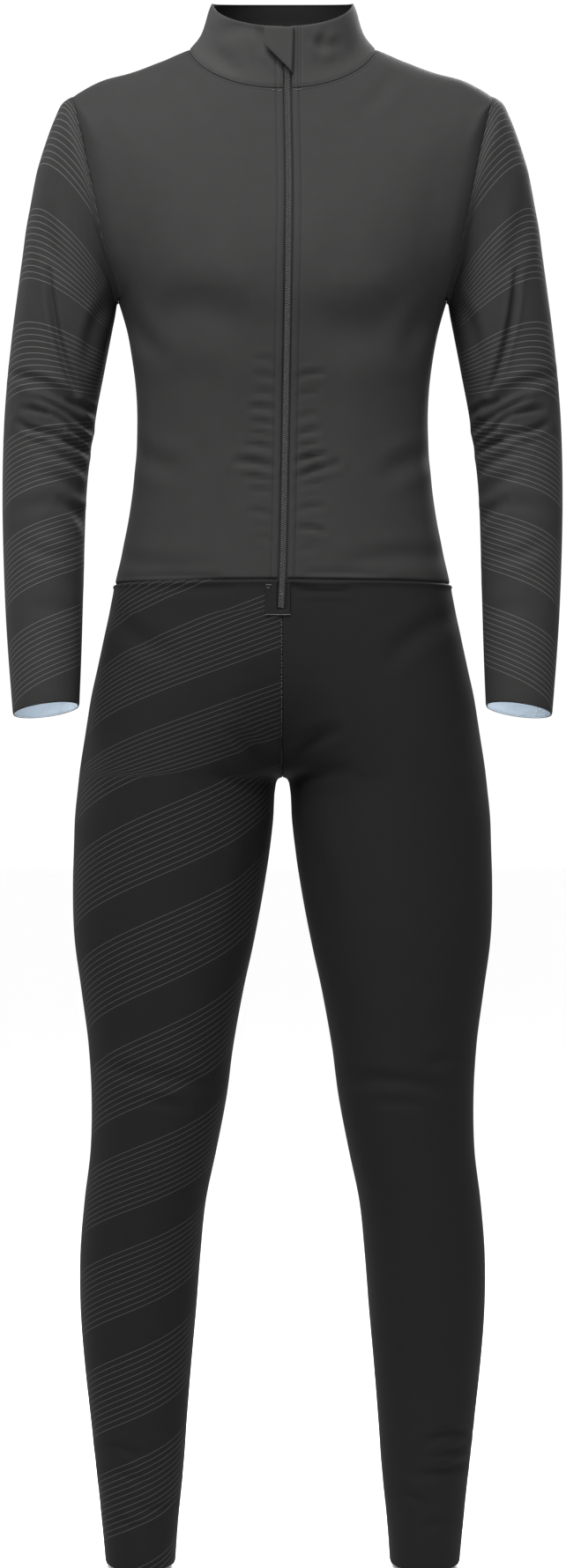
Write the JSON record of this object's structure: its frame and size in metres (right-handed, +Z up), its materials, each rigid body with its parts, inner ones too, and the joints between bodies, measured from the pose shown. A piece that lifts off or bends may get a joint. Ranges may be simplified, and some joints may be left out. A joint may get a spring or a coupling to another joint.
{
  "type": "cross-country ski suit",
  "caption": "Hollow one-piece suit of stretch knit in its worn shape: stand collar, long sleeves, full legs and a centre-front zip to just below the waist seam.",
  "frame": {"origin": "inside the base of the collar, on the middle line, where the wearer's neck and shoulders hold the suit up", "axes": "+X to the wearer's left, -Y to the wearer's front, +Z up along the body"},
  "size_m": [0.508, 0.2346, 1.4293],
  "materials": {
    "upper_knit": "matte stretch knit with a soft sheen",
    "lower_knit": "matte stretch knit with a soft sheen",
    "zip_plastic": "satin",
    "dark_metal": "satin"
  },
  "bodies": {
    "root": {"front_left": "upper_knit", "front_right": "upper_knit", "back": "upper_knit", "collar": "upper_knit", "sleeve_left": "upper_knit", "sleeve_right": "upper_knit", "leg_front_left": "lower_knit", "leg_front_right": "lower_knit", "leg_back_left": "lower_knit", "leg_back_right": "lower_knit", "zip_chain": "zip_plastic", "zip_slider": "dark_metal", "zip_pull": "dark_metal", "zip_guard": "upper_knit", "zip_end_patch": "lower_knit"}
  },
  "joints": []
}
